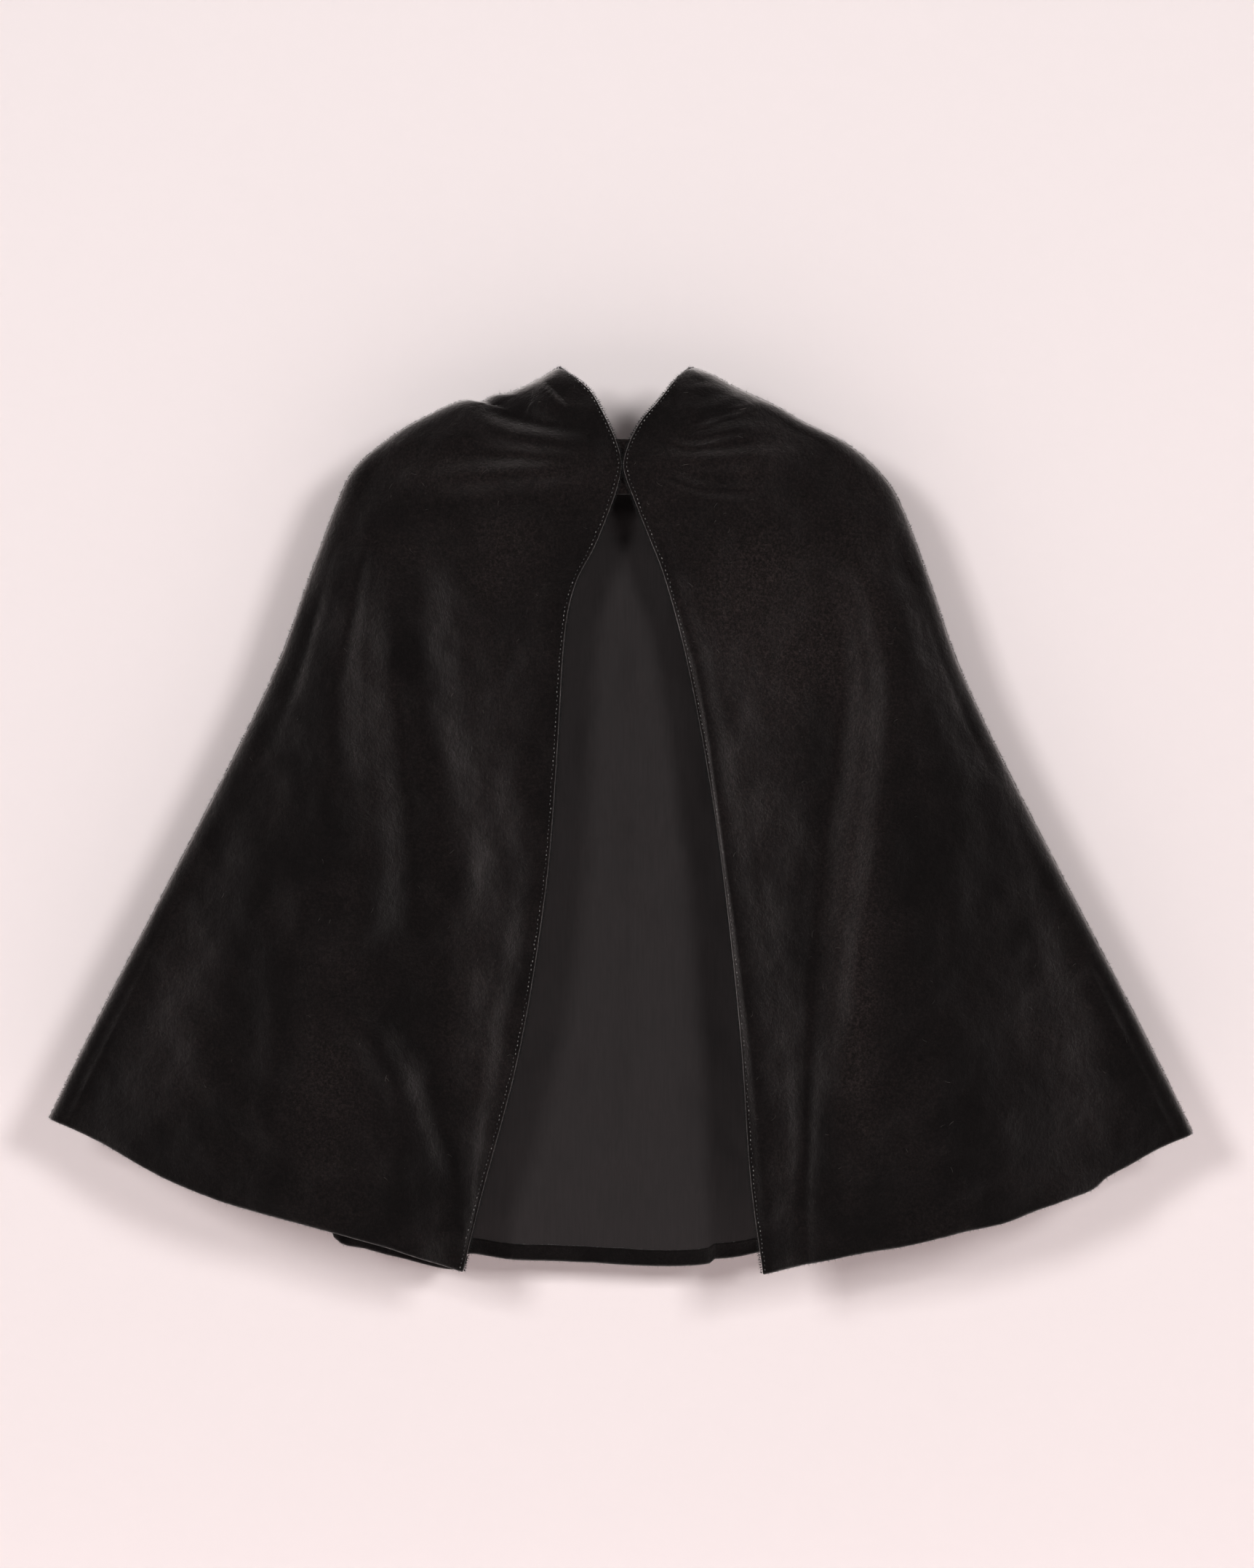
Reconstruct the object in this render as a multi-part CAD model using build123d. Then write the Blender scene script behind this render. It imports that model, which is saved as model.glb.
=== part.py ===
"""Child's velvet superhero cape, hanging closed from the top of its neck opening.

Millimetres. +X is the wearer's left, +Y runs from chest to back, +Z is up. The origin lies
midway between the two shoulder folds that a hanger or a pair of shoulders carries.
Every panel is a thin closed skin between two grids of points. Each front is cut along the
straight line that it turns back on, so that its inner part can swing as a flap.
"""
from build123d import *
from functools import lru_cache
import math
import os

# --- Cloth, thread and tape -------------------------------------------------------------
VELVET = 1.8            # velvet backing and pile
LINING = 0.5            # plain cotton lining
LAYER_GAP = 0.5         # air between velvet and lining
SEAM_GAP = 1.2          # between the two lining layers at a side seam
CLOTH = VELVET + LAYER_GAP + LINING
THREAD = 0.5
PRESSED_THREAD = 0.15   # thread lying flat between the velvet and the lining
TOUCH = 0.1             # clearance between pieces that lie on each other
HEM_TURN = 10.0         # velvet turned in along the hem
STITCH_INSET = 3.0      # topstitching, in from the edge
STITCH_STANDOFF = 0.35  # topstitching lies in the pile, this far off the faceted face
LINING_INSET = 2.5      # the lining stays in from the velvet's edges

# --- Outline, seen from the front -------------------------------------------------------
# Half outline from the shoulder fold at the neck down to the corner of the hem: (x, z).
SIDE_POINTS = [(42, 0), (75, -9), (130, -36), (176, -69), (205, -137), (261, -270), (375, -492)]
# Front edges, from the shoulder fold through the throat to the hem: (x, z).
RIGHT_EDGE_POINTS = [(-39, -1), (-20, -15), (-4, -45), (-2, -64), (-5, -80), (-31, -140),
                     (-42, -254), (-67, -442), (-104, -587)]
LEFT_EDGE_POINTS = [(41, -1), (31, -12), (5, -45), (2, -64), (6, -80), (28, -140),
                    (54, -250), (77, -434), (91, -587)]
HEM_SAG = 9.0           # how far a front hem bows below the line between its corners
BACK_NECK_DROP = 62.0   # the back neckline hangs this far below the shoulder folds
BACK_HEM_DROP = 89.0    # the back hem hangs this far below its corners

# --- Depth: how far each outer face stands from the plane of the side seams --------------
NECK_DEPTH = 14.0
THROAT_DEPTH = 20.0
FRONT_HEM_DEPTH = 40.0
BACK_HEM_DEPTH = 32.0
THROAT_TOP = -15.0      # the depth is constant from here down to FLAP_TOP
THROAT_SWELL = 3.0      # how soon a front reaches its full depth, in from its side seam
FRONT_SWELL = 1.6       # the same, from SWELL_EASE below FLAP_TOP down to the hem
SWELL_EASE = 100.0
BACK_SWELL = 2.0        # the same for the back
FLAP_TOP = -94.0        # just below the closure tab
HEM_LEVEL = -587.0

# --- The turned-back fronts --------------------------------------------------------------
FOLD_HEM_X = 215.0      # where each fold line meets the hem
FOLD_CLEARANCE = 1.6    # from the fold line to the cloth on each side of it

# --- Closure tab -------------------------------------------------------------------------
TAB_TOP = -44.0
TAB_HEIGHT = 36.0
TAB_HINGE_X = -20.0     # the tab bends here, next to its sewn end
TAB_SEWN_END_X = -32.0
TAB_FREE_END_X = 32.0
TAB_LAYER = 1.2         # one velvet layer of the tab
INTERFACING = 0.4
TAPE = 1.2              # hook tape or loop tape
TAPE_X = (9.0, 29.0)
TAPE_MARGIN = 5.0       # from the tab's long edges to the tape
INTERFACING_INSET = 1.0 # from the tab's borders to its interfacing
BEND_CLEARANCE = 1.0

ROWS = 20
FRONT_COLUMNS = 9
FLAP_COLUMNS = 4
BACK_COLUMNS = 18

os.makedirs("parts", exist_ok=True)


# --- Helpers -----------------------------------------------------------------------------
def mix(a, b, t):
    return a + (b - a) * t


def curve(points):
    return Spline(*[(x, 0, z) for x, z in points])


def depth_at(z, hem_depth):
    """Distance of an outer face from the seam plane: eased in at the neck, then a taper."""
    if z > THROAT_TOP:
        return mix(NECK_DEPTH, THROAT_DEPTH, min(1.0, z / THROAT_TOP))
    if z > FLAP_TOP:
        return THROAT_DEPTH
    return mix(THROAT_DEPTH, hem_depth, (z - FLAP_TOP) / (HEM_LEVEL - FLAP_TOP))


def steps(count, low=0.0, high=1.0):
    return [mix(low, high, i / count) for i in range(count + 1)]


def shift(grid, dy):
    return [[p + Vector(0, dy, 0) for p in row] for row in grid]


def skin(front, back):
    """Closed solid between two grids of points with the same rows and columns."""
    faces = []

    def triangle(a, b, c):
        if (b - a).cross(c - a).length > 1e-7:
            faces.append(Face(Wire.make_polygon([a, b, c], close=True)))

    def quad(a, b, c, d):
        triangle(a, b, c)
        triangle(a, c, d)

    last_row, last_column = len(front) - 1, len(front[0]) - 1
    for i in range(last_row):
        for j in range(last_column):
            quad(front[i][j], front[i][j + 1], front[i + 1][j + 1], front[i + 1][j])
            quad(back[i][j], back[i + 1][j], back[i + 1][j + 1], back[i][j + 1])
    for i in range(last_row):
        for j in (0, last_column):
            quad(front[i][j], front[i + 1][j], back[i + 1][j], back[i][j])
    for j in range(last_column):
        for i in (0, last_row):
            quad(front[i][j], back[i][j], back[i][j + 1], front[i][j + 1])
    solid = Solid(Shell(faces))
    return solid if solid.volume > 0 else Solid(solid.wrapped.Reversed())


def strand(path, across, along_y):
    """Thread along a path, with a rectangular section: across in X and Z, along_y in Y."""
    front, back = [], []
    for i, point in enumerate(path):
        ahead, behind = path[min(i + 1, len(path) - 1)], path[max(i - 1, 0)]
        run = Vector(ahead.X - behind.X, 0, ahead.Z - behind.Z).normalized()
        side = Vector(-run.Z, 0, run.X) * (across / 2)
        front.append([point - side, point + side])
        back.append([point - side, point + side])
    return skin(shift(front, -along_y / 2), shift(back, along_y / 2))


def slab(x_range, y_range, z_range):
    size = [high - low for low, high in (x_range, y_range, z_range)]
    centre = [(low + high) / 2 for low, high in (x_range, y_range, z_range)]
    return Pos(*centre) * Box(*size)


def stitched_frame(x_range, y_range, z_range):
    """A rectangle of stitching: a thin slab with its middle cut out."""
    inner = [(low + THREAD, high - THREAD) for low, high in (x_range, z_range)]
    hole = slab(inner[0], (y_range[0] - 1, y_range[1] + 1), inner[1])
    return slab(x_range, y_range, z_range) - hole


def save(node, shape):
    shape.label = node
    export_step(shape, f"parts/{node}.step")


# --- Outlines ----------------------------------------------------------------------------
SIDE = curve(SIDE_POINTS)
EDGES = {"right": curve(RIGHT_EDGE_POINTS), "left": curve(LEFT_EDGE_POINTS)}
SIGNS = {"right": -1, "left": 1}
SEAM_STANDOFF = CLOTH + SEAM_GAP / 2
HEM_FACE = 2 * VELVET + LAYER_GAP
HEM_TOP = 1 - HEM_TURN / SIDE.length


def solve(function, target, low=0.0, high=1.0):
    """Where a rising function reaches a target, by halving."""
    for _ in range(40):
        middle = (low + high) / 2
        if function(middle) < target:
            low = middle
        else:
            high = middle
    return low


@lru_cache(maxsize=None)
def row_ends(side, v):
    """The two ends of the row at v: on the side seam and on the front edge."""
    return SIDE @ v, EDGES[side] @ v


def row_point(side, u, v):
    """Where the row at v lies in the front view, u of the way from side seam to front edge."""
    start, end = row_ends(side, v)
    sag = HEM_SAG * v ** 4 * 4 * u * (1 - u)
    return mix(SIGNS[side] * start.X, end.X, u), mix(start.Z, end.Z, u) - sag


@lru_cache(maxsize=None)
def fold_line(side):
    """The straight line that a front turns back on: its top and its hem end (x, z)."""
    edge = EDGES[side]
    top = edge @ solve(lambda share: -(edge @ share).Z, -FLAP_TOP)
    hem_width = (SIDE @ 1).X - abs((edge @ 1).X)
    return (top.X, top.Z), row_point(side, ((SIDE @ 1).X - FOLD_HEM_X) / hem_width, 1)


def past_fold(side, u, v):
    """Distance of a point past the fold line, positive towards the front edge."""
    (x0, z0), (x1, z1) = fold_line(side)
    x, z = row_point(side, u, v)
    across = (x - x0) * (z0 - z1) + (z - z0) * (x1 - x0)
    return -SIGNS[side] * across / math.hypot(x1 - x0, z1 - z0)


def crossing(side, v, distance):
    """The u where the row at v stands a given distance past the fold line, or 1."""
    if past_fold(side, 1, v) <= distance:
        return 1.0
    return solve(lambda u: past_fold(side, u, v), distance)


def front_point(side, u, v):
    x, z = row_point(side, u, v)
    eased = min(max((FLAP_TOP - z) / SWELL_EASE, 0), 1)
    swell = 1 - (1 - u) ** mix(THROAT_SWELL, FRONT_SWELL, eased)
    return Vector(x, -mix(SEAM_STANDOFF, depth_at(z, FRONT_HEM_DEPTH), swell), z)


def back_point(u, v):
    start = SIDE @ v
    across = 2 * u - 1
    drop = mix(BACK_NECK_DROP, BACK_HEM_DROP, v) * (1 - across ** 2)
    z = start.Z - drop
    swell = 1 - abs(across) ** BACK_SWELL
    return Vector(across * start.X, mix(SEAM_STANDOFF, depth_at(z, BACK_HEM_DEPTH), swell), z)


# --- Panels ------------------------------------------------------------------------------
def inset(side, v, distance):
    """A distance along the row at v, as a share of the front's width there."""
    start, end = row_ends(side, v)
    return min(0.3, distance / (start.X - abs(end.X)))


def front_grid(side, v_values):
    """Outer face of a front, from its side seam to the fold line or to its edge."""
    grid = []
    for v in v_values:
        far = crossing(side, v, -FOLD_CLEARANCE)
        grid.append([front_point(side, u, v) for u in steps(FRONT_COLUMNS, 0, far)])
    return grid


def flap_grid(side, v_values):
    """Outer face of a front, from the fold line to its edge."""
    grid = []
    for v in v_values:
        near = crossing(side, v, FOLD_CLEARANCE)
        grid.append([front_point(side, u, v) for u in steps(FLAP_COLUMNS, near, 1)])
    return grid


def back_grid(v_values):
    return [[back_point(u, v) for u in steps(BACK_COLUMNS)] for v in v_values]


def velvet_panel(rows, hem_rows, inward):
    """Velvet, doubled along the hem where it is turned in, but never past the seam plane."""
    outer, inner = rows + hem_rows, []
    for row, thickness in zip(outer, [VELVET] * len(rows) + [HEM_FACE] * len(hem_rows)):
        away = [max(abs(p.Y) - thickness, SEAM_GAP / 2) for p in row]
        inner.append([Vector(p.X, -inward * y, p.Z) for p, y in zip(row, away)])
    return skin(outer, inner)


def towards(a, b, distance):
    """The point a given distance from a towards b, or a third of the way if b is near."""
    return a + (b - a) * min(1 / 3, distance / (b - a).length)


def lining_rows(rows, inward):
    """Outer face of the lining: the velvet's rows, cut back at the sides and above the hem."""
    cut = [[towards(row[0], row[1], LINING_INSET)] + row[1:-1]
           + [towards(row[-1], row[-2], LINING_INSET)] for row in rows]
    cut[-1] = [towards(low, high, THREAD + 2 * TOUCH) for low, high in zip(cut[-1], cut[-2])]
    return shift(cut, inward * (VELVET + LAYER_GAP))


def hem_strand(lining, inward):
    """Thread that joins the lining's lower edge to the turned-in velvet."""
    path = [towards(low, high, -THREAD / 2 - TOUCH) for low, high in zip(lining[-1], lining[-2])]
    return strand([p + Vector(0, inward * LINING / 2, 0) for p in path], THREAD - TOUCH, LINING)


def flap_top(side):
    """The share of the way down where the flap's top, a few millimetres wide, starts."""
    return solve(lambda v: past_fold(side, 1, v), 3 * FOLD_CLEARANCE)


def save_panels(place, grid_of, top, inward, lining_from=0):
    rows = grid_of(steps(ROWS, top, HEM_TOP))
    hem_rows = grid_of([HEM_TOP + 0.0002, 1])
    lining = lining_rows(rows[lining_from:], inward)
    save(f"{place}_shell", velvet_panel(rows, hem_rows, inward))
    save(f"{place}_lining", skin(lining, shift(lining, inward * LINING)))
    save(f"{place}_hem_seam", hem_strand(lining, inward))


# --- Seams and topstitching --------------------------------------------------------------
def side_seam(side, from_edge, size):
    """Thread down a side seam, between the front and the back layers that it joins."""
    path = []
    for v in steps(ROWS, SEAM_TOP, HEM_TOP):
        point = SIDE @ v
        path.append(Vector(SIGNS[side] * (point.X - from_edge), 0, point.Z))
    return strand(path, *size)


def edge_stitching(side, top, bottom):
    """Topstitching beside a front edge, on its outer face."""
    path = []
    for v in steps(ROWS, top, bottom):
        point = front_point(side, 1 - inset(side, v, STITCH_INSET), v)
        path.append(point - Vector(0, STITCH_STANDOFF + THREAD / 2, 0))
    return strand(path, THREAD, THREAD)


def neck_stitching():
    """Topstitching round the neck opening: up both fronts and across the back."""
    strands = [edge_stitching(side, SEAM_TOP, flap_top(side)) for side in SIGNS]
    path = []
    for u in steps(BACK_COLUMNS, NECK_SEAM_END, 1 - NECK_SEAM_END):
        point = back_point(u, STITCH_INSET / SIDE.length)
        path.append(point + Vector(0, STITCH_STANDOFF + THREAD / 2, 0))
    return strands + [strand(path, THREAD, THREAD)]


# --- Closure -----------------------------------------------------------------------------
def layers_behind_throat():
    """Y range of each closure piece, stacked from the inner face of the lining backwards."""
    ranges, face = {}, -THROAT_DEPTH + CLOTH + 2 * TOUCH
    for name, thickness in (("loop_tape", TAPE), ("hook_tape", TAPE),
                            ("closure_tab_front", TAB_LAYER), ("tab_interfacing", INTERFACING),
                            ("closure_tab_back", TAB_LAYER), ("stitching", THREAD)):
        ranges[name] = (face + TOUCH, face + TOUCH + thickness)
        face = ranges[name][1]
    return ranges


def save_closure():
    layers = layers_behind_throat()
    tab_z = (TAB_TOP - TAB_HEIGHT, TAB_TOP)
    tape_z = (tab_z[0] + TAPE_MARGIN, tab_z[1] - TAPE_MARGIN)
    free_x = (TAB_HINGE_X + BEND_CLEARANCE, TAB_FREE_END_X)
    sewn_x = (TAB_SEWN_END_X, TAB_HINGE_X - BEND_CLEARANCE)
    for name in ("closure_tab_front", "closure_tab_back"):
        save(name, slab(free_x, layers[name], tab_z))
    inner_z = (tab_z[0] + INTERFACING_INSET, tab_z[1] - INTERFACING_INSET)
    inner_x = (free_x[0] + INTERFACING_INSET, free_x[1] - INTERFACING_INSET)
    save("tab_interfacing", slab(inner_x, layers["tab_interfacing"], inner_z))
    for name in ("hook_tape", "loop_tape"):
        save(name, slab(TAPE_X, layers[name], tape_z))
    save("hook_tape_stitching", stitched_frame(TAPE_X, layers["stitching"], tape_z))
    between = -THROAT_DEPTH + VELVET + LAYER_GAP / 2
    flat = (between, between + PRESSED_THREAD)
    save("loop_tape_stitching", stitched_frame(TAPE_X, flat, tape_z))
    sewn_y = (layers["loop_tape"][0] + 2 * TOUCH, layers["closure_tab_back"][1])
    save("closure_tab_sewn_end", slab(sewn_x, sewn_y, tab_z))
    sewn_frame_z = (tab_z[0] + STITCH_INSET, tab_z[1] - STITCH_INSET)
    sewn_frame_x = (sewn_x[0] + STITCH_INSET / 2, sewn_x[1] - STITCH_INSET / 2)
    save("tab_stitching", stitched_frame(sewn_frame_x, layers["stitching"], sewn_frame_z))


# --- Hinge lines, in metres, as the cape's record states them -----------------------------
def hinge_line(side):
    """A point on a front's fold line and the unit direction that opens the flap forwards."""
    ends = [Vector(x, -depth_at(z, FRONT_HEM_DEPTH), z) for x, z in fold_line(side)]
    run = (ends[1] - ends[0]).normalized() * -SIGNS[side]
    return ends[0] / 1000, run


# --- The cape ----------------------------------------------------------------------------
SEAM_TOP = 0.03         # share of the way down where the seam threads start
NECK_SEAM_END = 0.08    # share of the back neckline left free of thread at each shoulder
SHELL_SEAM = (0.8, 2 * (SEAM_STANDOFF - VELVET - TOUCH))
LINING_SEAM = (0.8, SEAM_GAP - 2 * TOUCH)

for side in SIGNS:
    save_panels(f"{side}_front", lambda v: front_grid(side, v), 0, 1, lining_from=1)
    save_panels(f"{side}_flap", lambda v: flap_grid(side, v), flap_top(side), 1)
    save(f"{side}_side_seam", side_seam(side, SHELL_SEAM[0] / 2, SHELL_SEAM))
    save(f"{side}_lining_seam", side_seam(side, LINING_INSET + LINING_SEAM[0], LINING_SEAM))
    low = flap_top(side) + 2 * STITCH_INSET / SIDE.length
    save(f"{side}_edge_stitching", edge_stitching(side, low, HEM_TOP))
save_panels("back", back_grid, 0, -1)
save("neck_stitching", Compound(children=neck_stitching()))
save_closure()

for side in SIGNS:
    print(side, "flap hinge:", *hinge_line(side))
tab_layers = layers_behind_throat()
tab_middle = (tab_layers["closure_tab_front"][0] + tab_layers["closure_tab_back"][1]) / 2
print("tab hinge:", TAB_HINGE_X / 1000, tab_middle / 1000, (TAB_TOP - TAB_HEIGHT / 2) / 1000)
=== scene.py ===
"""Looks for a child's velvet cape that hangs closed from its neck opening.

Shapes are worked out in millimetres in the row's frame (+X wearer's left, +Y to the back,
+Z up, origin between the shoulder folds) and turned into metres when a mesh is made.
"right" and "left" are the wearer's sides.
"""

import math

import bmesh
import bpy
import numpy as np
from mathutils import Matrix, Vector


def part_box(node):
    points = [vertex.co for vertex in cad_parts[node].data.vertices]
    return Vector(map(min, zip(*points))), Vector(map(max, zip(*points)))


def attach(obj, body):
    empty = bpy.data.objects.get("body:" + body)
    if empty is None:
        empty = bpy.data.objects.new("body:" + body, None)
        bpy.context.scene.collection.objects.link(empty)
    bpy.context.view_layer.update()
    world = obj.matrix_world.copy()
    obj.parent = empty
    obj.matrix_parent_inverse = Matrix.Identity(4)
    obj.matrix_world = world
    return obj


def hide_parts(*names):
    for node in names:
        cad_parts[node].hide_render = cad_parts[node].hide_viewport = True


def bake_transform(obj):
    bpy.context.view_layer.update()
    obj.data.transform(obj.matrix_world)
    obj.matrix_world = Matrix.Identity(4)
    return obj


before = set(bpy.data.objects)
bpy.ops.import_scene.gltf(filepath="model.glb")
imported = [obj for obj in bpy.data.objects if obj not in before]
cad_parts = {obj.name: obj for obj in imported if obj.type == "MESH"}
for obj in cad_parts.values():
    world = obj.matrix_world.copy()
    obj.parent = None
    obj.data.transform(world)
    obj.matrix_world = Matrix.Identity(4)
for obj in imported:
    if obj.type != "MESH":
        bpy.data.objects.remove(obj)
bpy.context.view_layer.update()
MM = 0.001
rng = np.random.default_rng(11)

# --- Cloth -------------------------------------------------------------------------------
VELVET = 1.5            # thickness of the velvet sheets
LINING = 0.45
HEM_TURN = 10.0         # velvet turned in along the hem
LINING_STANDOFF = 1.9   # from the middle of the velvet to the middle of the lining
STITCH_INSET = 2.2
FLAP_TOP = -94.0        # below the closure tab the cape's fronts can fold back; these sheets are made only as they hang

# --- Outline as it hangs: (x, z) ---------------------------------------------------------
RIGHT_SIDE = [(-42, 3.5), (-58, -6), (-74, -13), (-85, -15), (-94, -19.5), (-104, -18), (-120, -24),
              (-149, -40), (-176, -63), (-189, -90), (-207, -138), (-228, -195), (-265, -271),
              (-344, -423), (-376, -488)]
LEFT_SIDE = [(45, 3.5), (58, -1), (73, -9), (88, -16), (103, -23), (120, -33), (148, -47),
             (172, -69), (185, -92), (202, -138), (222, -195), (258, -271), (337, -423),
             (374, -498)]
RIGHT_EDGE = [(-42, 3.5), (-31, -4), (-21, -13), (-14, -25), (-5, -44), (-0.9, -58), (-1.4, -67),
              (-6.5, -85), (-18, -114), (-31, -140), (-38, -175), (-43, -254), (-50, -338),
              (-67, -443), (-93, -542), (-104, -587)]
LEFT_EDGE = [(45, 3.5), (38, -2), (31, -9.5), (22, -21), (13, -31), (5, -45), (0.6, -59),
             (1.6, -68), (7.5, -84), (17, -108), (28, -137), (42, -190), (57, -270), (68, -350),
             (77, -437), (83, -525), (91, -587)]
RIGHT_HEM = [(-376, -488), (-340, -504), (-302, -524), (-264, -539), (-226, -550), (-190, -560),
             (-150, -571), (-104, -587)]
LEFT_HEM = [(91, -587), (116, -582), (153, -574), (187, -568), (220, -560), (248, -554),
            (270, -546), (290, -539.5), (307, -533.5), (317, -525.5), (333, -517.5), (353, -507),
            (374, -498)]
BACK_HEM = [(-376, -488), (-300, -517), (-200, -552), (-102, -580), (-40, -585), (40, -587),
            (85, -581), (200, -552), (300, -521), (374, -498)]
# The back hem hangs lower in two folds: (x, how much lower).
BACK_FOLDS = [(-200, 0), (-194, 0), (-187, 14), (-170, 14), (-150, 14), (-112, 12), (-102, 0),
              (-60, 0), (48, 1), (58, -2), (80, 0), (120, 0)]
BACK_NECK_DROP = 62.0
BACK_HEM_SAG = 0.42     # how much further than the neckline the back's hem bows down

# --- Depth from the plane of the side seams ----------------------------------------------
NECK_DEPTH = 13.0
THROAT_DEPTH = 19.0
FRONT_HEM_DEPTH = 38.0
BACK_HEM_DEPTH = 30.0
HEM_LEVEL = -587.0
FOLD_RADIUS = 7.0       # how round the cloth turns at the sides
THROAT_SWELL = 3.0      # how soon a front reaches its full depth, in from its side seam
FRONT_SWELL = 1.6       # the same, from SWELL_EASE below the throat down to the hem
SWELL_EASE = 100.0

# --- Broad folds below the throat: lines (x, z, height) down the cloth, in order across ----
RIGHT_FRONT_WAVES = [
    [(-195, -100, 0), (-236, -200, 0), (-285, -300, 0), (-334, -400, 0), (-420, -560, 0)],
    [(-186, -100, 1), (-214, -200, 0), (-262, -300, 0), (-315, -400, -5), (-338, -450, -6),
     (-365, -520, -4), (-385, -560, -4)],
    [(-178, -100, 3), (-206, -200, 3), (-236, -300, 3), (-262, -400, 4), (-282, -500, 5),
     (-292, -560, 5)],
    [(-168, -100, 4), (-187, -200, 5), (-199, -300, 5), (-222, -400, 5), (-236, -500, 5),
     (-245, -560, 5)],
    [(-162, -100, -4), (-170, -200, -7), (-162, -300, -7), (-164, -350, -7), (-192, -410, -3),
     (-190, -500, -3), (-195, -560, -3)],
    [(-149, -100, -16), (-149, -200, -21), (-139, -260, -22), (-137, -350, -21),
     (-158, -420, -8), (-150, -500, -6), (-138, -560, -6)],
    [(-136, -100, -18), (-133, -200, -22), (-118, -300, -23), (-118, -350, -22),
     (-120, -410, -17), (-122, -450, -17), (-114, -500, -18), (-104, -560, -16)],
    [(-100, -100, -7), (-104, -200, -9), (-84, -300, -9), (-76, -350, -9), (-86, -420, -9),
     (-98, -500, -15), (-99, -560, -14)],
    [(-50, -100, 1), (-58, -200, 1), (-54, -300, 0), (-60, -350, -1), (-70, -420, -2),
     (-88, -500, -10), (-98, -560, -13)],
    [(-14, -100, 3), (-39, -200, 2), (-45, -300, 0), (-60, -400, -1), (-83, -500, -9),
     (-97, -560, -12)],
]
LEFT_FRONT_WAVES = [
    [(14, -100, 2), (45, -200, 2), (62, -300, 2), (73, -400, 0), (82, -500, -3), (87, -560, -4)],
    [(20, -100, 4), (50, -200, 5), (65, -300, 5), (79, -400, 4), (90, -500, 0), (95, -560, -3)],
    [(34, -100, 0), (62, -200, 0), (82, -300, -2), (97, -400, -3), (107, -500, -4),
     (106, -560, -6)],
    [(110, -100, -9), (128, -200, -17), (119, -300, -15), (114, -400, -10), (114, -500, -8),
     (113, -560, -8)],
    [(122, -100, -10), (142, -200, -18), (132, -300, -17), (122, -400, -12), (119, -500, -9),
     (118, -560, -8)],
    [(138, -100, -4), (160, -200, -7), (151, -300, -7), (139, -400, -5), (129, -500, -3),
     (126, -560, -5)],
    [(150, -100, 3), (176, -200, 4), (170, -300, 4), (155, -400, 4), (143, -500, 1),
     (138, -560, -3)],
    [(165, -100, 4), (194, -200, 5), (215, -300, 6), (214, -400, 7), (240, -500, 7),
     (248, -560, 6)],
    [(180, -100, 1), (208, -200, 2), (250, -300, 2), (275, -400, 0), (303, -500, -1),
     (316, -560, -1)],
    [(186, -100, 0), (215, -200, 0), (262, -300, 0), (300, -400, -6), (325, -450, -7),
     (350, -520, -6), (368, -560, -5)],
    [(195, -100, 0), (236, -200, 0), (285, -300, 0), (334, -400, 0), (420, -560, 0)],
]
BACK_WAVES = [
    [(-200, -120, 0), (-300, -340, 0), (-400, -540, 0)],
    [(-165, -120, 6), (-235, -340, 9), (-285, -540, 10)],
    [(-125, -120, -6), (-170, -340, -9), (-205, -540, -8)],
    [(-90, -120, 6), (-112, -340, 9), (-132, -540, 9)],
    [(-50, -120, -3), (-66, -340, -5), (-82, -540, -4)],
    [(-15, -120, 3), (-18, -340, 4), (-20, -540, 3)],
    [(25, -120, -2), (30, -340, -3), (34, -540, -2)],
    [(62, -120, 5), (80, -340, 8), (96, -540, 8)],
    [(100, -120, -6), (135, -340, -9), (160, -540, -9)],
    [(150, -120, 7), (210, -340, 10), (250, -540, 10)],
    [(200, -120, 0), (300, -340, 0), (400, -540, 0)],
]

# --- Creases: path (x, z), height, softness on its left, on its right ---------------------
RIGHT_FRONT_FOLDS = [
    ([(-150, -70), (-100, -69), (-60, -66), (-22, -63)], 4.2, 8, 8),
    ([(-106, -24), (-91, -34), (-74, -41), (-52, -46), (-20, -52)], 4.8, 8, 8),
    ([(-110, -52), (-80, -55), (-50, -56), (-26, -57)], -3.5, 7, 7),
    ([(-92, -24), (-70, -31), (-48, -36), (-26, -40)], -3.0, 6, 6),
    ([(-60, -7), (-53, -9), (-45, -17), (-36, -25)], 3.0, 1.6, 14),
    ([(-30, -80), (-60, -84), (-100, -86), (-140, -90)], -2.5, 9, 9),
    ([(-180, -415), (-146, -460), (-128, -510), (-108, -552)], 5, 9, 12),
]
LEFT_FRONT_FOLDS = [
    ([(95, -20), (86, -22), (68, -28), (54, -33), (40, -39)], 5.0, 1.3, 11),
    ([(92, -15), (74, -22), (58, -28), (44, -33)], -2.0, 6, 3),
    ([(26, -41), (35, -44), (44, -46), (57, -44), (73, -40), (96, -38)], 3.2, 6, 2.0),
    ([(14, -55), (40, -59), (85, -57), (120, -60)], 3.6, 8, 8),
    ([(30, -50), (60, -51), (90, -48)], -2.5, 5, 5),
    ([(12, -66), (19, -67.5), (30, -71), (41, -75.5), (54, -79), (69, -80), (92, -79)],
     2.8, 6, 1.5),
    ([(40, -10), (55, -10), (68, -8)], 1.6, 2, 5),
    ([(28, -15), (33, -20), (36, -26), (44, -34)], -1.6, 4, 4),
    ([(130, -80), (90, -92), (40, -96)], -2.5, 10, 10),
]
BACK_FOLD_LINES = [
    ([(-150, -40), (-100, -60), (-50, -75), (0, -80), (50, -75), (100, -60), (150, -40)],
     4, 9, 9),
    ([(-110, -45), (-60, -85), (0, -105), (60, -85), (110, -45)], 3.5, 9, 9),
]
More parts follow.
